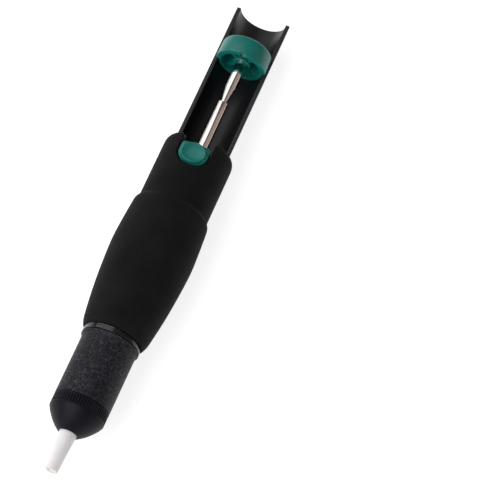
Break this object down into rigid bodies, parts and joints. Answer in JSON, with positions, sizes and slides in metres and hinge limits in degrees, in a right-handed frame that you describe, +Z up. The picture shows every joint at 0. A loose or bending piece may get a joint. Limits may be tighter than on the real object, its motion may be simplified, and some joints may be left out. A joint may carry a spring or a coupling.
{
  "type": "desoldering pump",
  "caption": "Spring-loaded desoldering pump with a tapered suction nozzle, screw-on nose cone, soft grip, thumb knob in an open guard and a release button.",
  "frame": {"origin": "on the surface that the pump lies on, under the middle of its length and width", "axes": "+X along the pump from the nozzle to the guard's open end, +Z up, out of the guard's open side, the knob's front and the release button's face"},
  "size_m": [0.2, 0.0314, 0.0314],
  "materials": {
    "ptfe_white": "satin, slightly translucent",
    "black_satin": "satin",
    "charcoal_grain": "fine pebble grain",
    "black_gloss": "gloss",
    "black_soft_grip": "soft matt",
    "teal_plastic": "semi-gloss",
    "polished_steel": "polished, nickel plated",
    "spring_steel": "drawn wire",
    "zinc_steel": "zinc plated",
    "acetal": "satin",
    "black_rubber": "matt",
    "brass_bush": "turned"
  },
  "bodies": {
    "housing": {"main_barrel": "black_satin", "front_barrel": "charcoal_grain", "barrel_o_ring": "black_rubber", "collar": "black_gloss", "housing_pin_left": "zinc_steel", "housing_pin_right": "zinc_steel", "spring_seat": "zinc_steel", "main_spring": "spring_steel", "bumper": "black_rubber", "rod_bush": "brass_bush", "grip": "black_soft_grip", "rear_housing": "black_satin", "latch_spring": "spring_steel"},
    "plunger": {"piston_rod": "polished_steel", "piston": "acetal", "piston_o_ring": "black_rubber", "piston_washer": "zinc_steel", "piston_nut": "zinc_steel", "cleaning_pin": "zinc_steel", "knob": "teal_plastic"},
    "button": {"release_button": "teal_plastic", "latch_plate": "zinc_steel"},
    "nose_seal": {"nose_o_ring": "black_rubber"},
    "nose": {"nose_cone": "black_satin", "nozzle": "ptfe_white"}
  },
  "joints": [
    {"name": "plunger_slide", "type": "slide", "parent": "housing", "child": "plunger", "axis": [-1, 0, 0], "range_m": [0, 0.028], "stiffness_N_per_m": 300, "springref_m": -0.01, "deforming": ["main_spring"]},
    {"name": "button_press", "type": "slide", "parent": "housing", "child": "button", "axis": [0, 0, -1], "range_m": [0, 0.0015], "stiffness_N_per_m": 800, "springref_m": -0.001, "deforming": ["latch_spring"]},
    {"name": "nose_travel", "type": "slide", "parent": "housing", "child": "nose_seal", "axis": [-1, 0, 0], "range_m": [0, 0.006]},
    {"name": "nose_twist", "type": "hinge", "parent": "nose_seal", "child": "nose", "pos_m": [-0.08, 0, 0.01569], "axis": [-1, 0, 0], "range_deg": [0, 1440]}
  ],
  "couplings": [
    {"joint": "nose_twist", "follows": "nose_travel", "rad_per_m": 4188.8}
  ]
}
